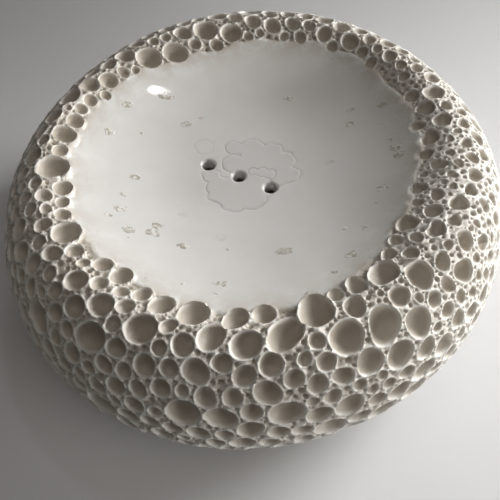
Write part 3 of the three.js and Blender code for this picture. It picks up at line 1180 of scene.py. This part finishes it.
def fired_material(name):
    """Glaze over clay: which of them shows follows the piece's own glaze mask."""
    n = Nodes(name)
    glaze, glaze_rough, glaze_height = glaze_look(n)
    clay, clay_rough, clay_height = clay_look(n)
    mask = n.math("ADD", n.mask("glaze"), n.span(n.noise(1.6, detail=3.0), 0.3, 0.7, -0.18, 0.18))
    mask = n.times(n.span(mask, 0.25, 0.75), n.span(n.mask("glaze"), 0.0, 0.08))
    colour = n.mix(mask, clay, glaze)
    roughness = n.mix_value(mask, clay_rough, glaze_rough)
    height = n.mix_value(mask, clay_height, glaze_height)
    return n.finish(colour, roughness, n.bump(height, 1.0))


def bare_material():
    """Unglazed clay: sandy, matt and gritty, with paler patches."""
    n = Nodes("bare_clay")
    sand = n.noise(0.8, detail=5.0, roughness=0.7)
    cloud = n.noise(21.0, detail=4.0)
    colour = n.mix(n.span(cloud, 0.3, 0.7), (0.62, 0.55, 0.45), (0.54, 0.47, 0.375))
    grit = n.span(n.dots(3.1, n.warped(2.0, 0.6)), 0.15, 0.06)
    colour = n.tint(colour, grit, 0.5, (0.33, 0.26, 0.19))
    colour = n.mix(n.span(sand, 0.55, 0.75, 0.0, 0.5), colour, (0.72, 0.66, 0.57))
    roughness = n.span(sand, 0.3, 0.7, 0.8, 0.95)
    return n.finish(colour, roughness, n.bump(sand, 0.16), specular=0.3)


def floor_material():
    n = Nodes("floor_paint")
    tone = n.noise(160.0, detail=2.0)
    colour = n.mix(tone, (0.75, 0.76, 0.775), (0.78, 0.79, 0.805))
    return n.finish(colour, 0.55, n.bump(n.noise(1.5, detail=2.0), 0.01), specular=0.3)


# ---- camera, light and floor
CAMERA_AT = (0.0, -179.54, 257.97)
CAMERA_AIM = (-2.27, -57.72, 79.3)
CAMERA_ROLL = math.radians(-3.495)
CAMERA_LENS = 40.67
FLOOR_HALF = 3.0
FLOOR_CLEARANCE = 0.0002


def add_camera():
    eye, aim = Vector(CAMERA_AT) * MM, Vector(CAMERA_AIM) * MM
    forward = (aim - eye).normalized()
    level = forward.cross(Vector((0, 0, 1))).normalized()
    upright = level.cross(forward)
    right = level * math.cos(CAMERA_ROLL) + upright * math.sin(CAMERA_ROLL)
    up = upright * math.cos(CAMERA_ROLL) - level * math.sin(CAMERA_ROLL)
    camera = bpy.data.objects.new("camera", bpy.data.cameras.new("camera"))
    camera.data.lens = CAMERA_LENS
    camera.data.sensor_width = 36.0
    camera.data.clip_start = 0.01
    turned = Matrix((right, up, -forward)).transposed().to_4x4()
    camera.matrix_world = Matrix.Translation(eye) @ turned
    bpy.context.collection.objects.link(camera)
    bpy.context.scene.camera = camera


def area_light(name, azimuth, elevation, distance, size, energy, colour, aim, spread=180):
    """A soft lamp. Azimuth is measured from +X towards +Y, in degrees; distance and size in metres."""
    lamp = bpy.data.lights.new(name, "AREA")
    lamp.shape = "RECTANGLE"
    lamp.size, lamp.size_y = size
    lamp.energy = energy
    lamp.spread = math.radians(spread)
    lamp.color = colour
    turn, lift = math.radians(azimuth), math.radians(elevation)
    flat = math.cos(lift)
    away = Vector((math.cos(turn) * flat, math.sin(turn) * flat, math.sin(lift)))
    made = bpy.data.objects.new(name, lamp)
    made.location = Vector(aim) + away * distance
    made.rotation_euler = away.to_track_quat("Z", "Y").to_euler()
    bpy.context.collection.objects.link(made)


def add_light():
    """Window light from the right, a warm ceiling, a low lamp at the side, and a small skylight.

    The skylight is what the dish mirrors towards the camera.
    """
    white, cream, warm = (1.0, 0.99, 0.975), (1.0, 0.98, 0.95), (1.0, 0.93, 0.86)
    middle = (0.0, 0.0, 0.05)
    mirrored = (-0.0455, 0.0503, 0.068)
    area_light("window", 32, 22, 1.1, (0.6, 0.45), 2.2, white, (0.03, -0.2, 0.0), spread=60)
    area_light("ceiling", -60, 80, 1.6, (1.6, 1.6), 4.3, warm, middle)
    area_light("bounce", -27, 8, 0.8, (0.5, 0.12), 2.7, cream, middle)
    area_light("skylight", 46, 70.2, 0.9, (0.075, 0.04), 0.17, (1.0, 1.0, 1.0), mirrored)
    world = bpy.data.worlds.new("room")
    world.use_nodes = True
    background = world.node_tree.nodes["Background"]
    background.inputs["Color"].default_value = (*warm, 1.0)
    background.inputs["Strength"].default_value = 0.02
    bpy.context.scene.world = world
    bpy.context.scene.view_settings.view_transform = "Standard"


def add_floor():
    mesh = bpy.data.meshes.new("floor")
    signs = ((-1, -1), (1, -1), (1, 1), (-1, 1))
    corners = [(x * FLOOR_HALF, y * FLOOR_HALF, -FLOOR_CLEARANCE) for x, y in signs]
    mesh.from_pydata(corners, [], [(0, 1, 2, 3)])
    floor = bpy.data.objects.new("floor", mesh)
    mesh.materials.append(floor_material())
    bpy.context.collection.objects.link(floor)


def ride(piece, material, slot, *nodes):
    piece.data.materials.append(material)
    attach(piece, "root")
    if nodes:
        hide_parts(*nodes)


def main():
    cups = pack_cups()
    cups = Cups.joined(cups, fill_with_bubbles(cups))
    relief = Relief(cups)
    bag = PointBag()
    add_borders(bag)
    add_dish_details(bag)
    add_cup_points(bag, cups, relief)
    add_fillers(bag, relief)
    angle, run, faces, inside = triangulate(bag)
    points, shade = relief.at(angle, run)
    surface = (angle, run, points, shade, faces)
    in_hole = inside["hole0"] | inside["hole1"] | inside["hole2"]
    fired = fired_material("fired_clay_and_glaze")
    bare = bare_material()
    dish = make_dish(surface, inside["dish"] & ~in_hole)
    ride(dish, fired, "white_glaze", "dish", "dish_glaze")
    upper = make_upper_wall(surface, inside["belly"] & ~inside["dish"])
    ride(upper, fired, "textured_clay", "upper_wall")
    lower = make_lower_wall(surface, inside["foot"] & ~inside["belly"])
    ride(lower, fired, "textured_clay", "lower_wall")
    for name in ("floor_slab", "floor_seam_coil", "belly_seam_coil", "dish_seat_coil"):
        node = frame["nodes"][name]
        node.data.materials.clear()
        node.data.materials.append(bare)
    add_camera()
    add_light()
    add_floor()


main()
